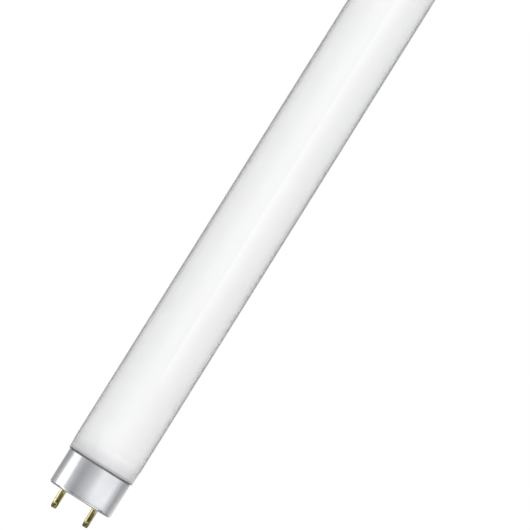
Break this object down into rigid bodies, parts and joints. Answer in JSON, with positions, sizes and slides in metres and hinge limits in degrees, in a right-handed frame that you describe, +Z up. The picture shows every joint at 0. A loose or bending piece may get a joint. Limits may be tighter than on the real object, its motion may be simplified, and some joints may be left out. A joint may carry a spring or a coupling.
{
  "type": "fluorescent tube",
  "caption": "Straight white glass discharge lamp with an aluminium cap and a pair of hollow brass contact pins at each end, made to plug across two tube holders.",
  "frame": {"origin": "middle of the lamp, on the axis of the glass tube", "axes": "+X runs along the lamp to its right end, the two pins of each cap lie side by side along Y, and +Z is up when the lamp lies with its pins level"},
  "size_m": [0.604, 0.026, 0.026],
  "materials": {
    "coated_glass": "clear glossy glass over a matt white coating on its inside, not see-through",
    "cap_aluminium": "bright, smooth, slightly satin",
    "pin_plate": "brown resin board, low sheen",
    "pin_brass": "bright polished",
    "lead_wire": "plain drawn wire",
    "cap_cement": "matt, fine grained"
  },
  "bodies": {
    "root": {"glass_tube": "coated_glass", "cap_shell_left": "cap_aluminium", "cap_shell_right": "cap_aluminium", "pin_plate_left": "pin_plate", "pin_plate_right": "pin_plate", "contact_pin_left_front": "pin_brass", "contact_pin_left_rear": "pin_brass", "contact_pin_right_front": "pin_brass", "contact_pin_right_rear": "pin_brass", "lead_wire_left_front": "lead_wire", "lead_wire_left_rear": "lead_wire", "lead_wire_right_front": "lead_wire", "lead_wire_right_rear": "lead_wire", "cap_cement_left": "cap_cement", "cap_cement_right": "cap_cement"}
  },
  "joints": []
}
